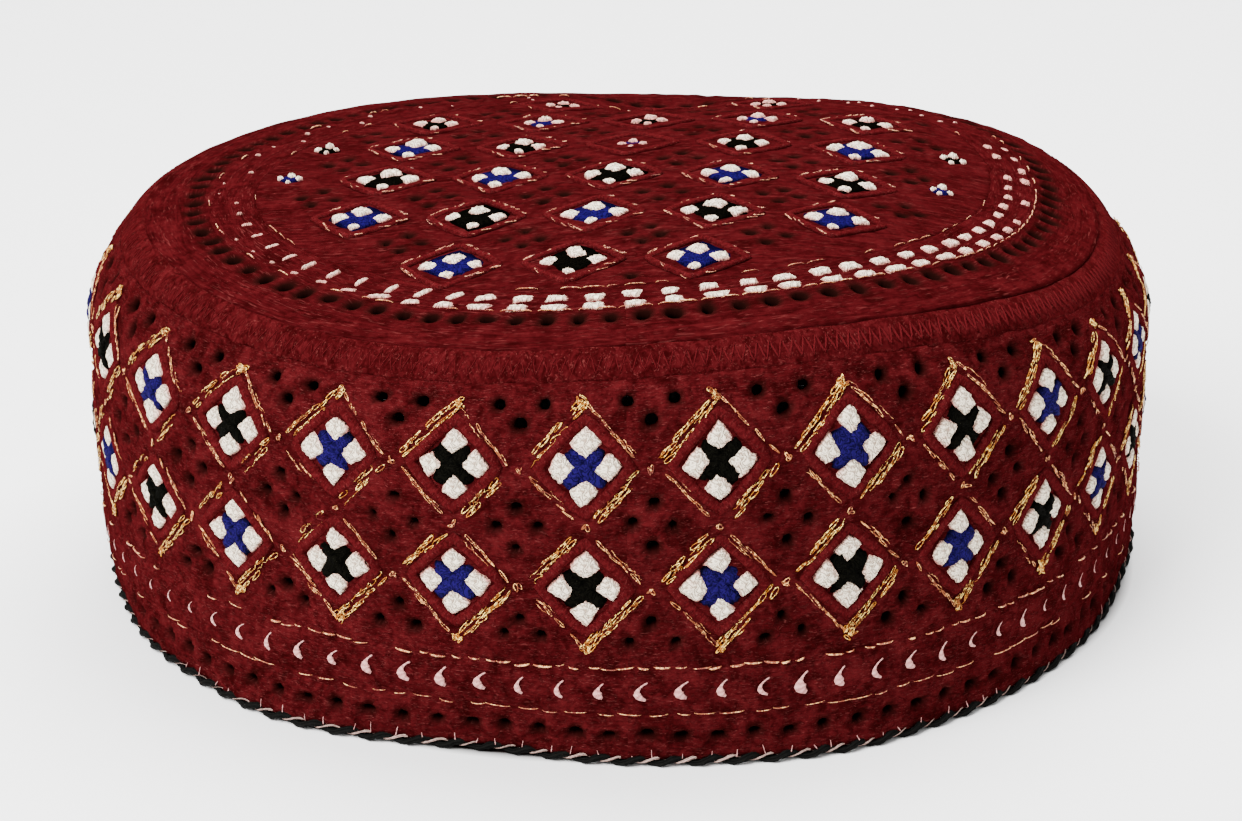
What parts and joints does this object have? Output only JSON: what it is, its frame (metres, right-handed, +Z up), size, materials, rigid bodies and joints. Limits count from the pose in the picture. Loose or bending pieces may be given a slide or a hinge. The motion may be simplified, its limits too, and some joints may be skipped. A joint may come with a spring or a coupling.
{
  "type": "kufi cap",
  "caption": "Round brimless cloth cap with a low side band, a domed crown, a raised crown seam, pierced eyelets, embroidered diamonds and a twisted cord edging.",
  "frame": {"origin": "middle of the rim on the surface the cap stands on", "axes": "+Z up to the crown, +X across the width, -Y towards the pictured front"},
  "size_m": [0.1912, 0.1836, 0.0751],
  "materials": {
    "band_cloth": "felted maroon embroidery thread, satin and gold embroidery on it",
    "crown_cloth": "felted maroon embroidery thread, satin and gold embroidery on it",
    "seam_thread": "maroon zigzag overcast stitches",
    "rim_cord": "twisted black and white cord"
  },
  "bodies": {
    "root": {"side_band": "band_cloth", "crown_top": "crown_cloth", "crown_seam": "seam_thread", "rim_binding": "rim_cord"}
  },
  "joints": []
}
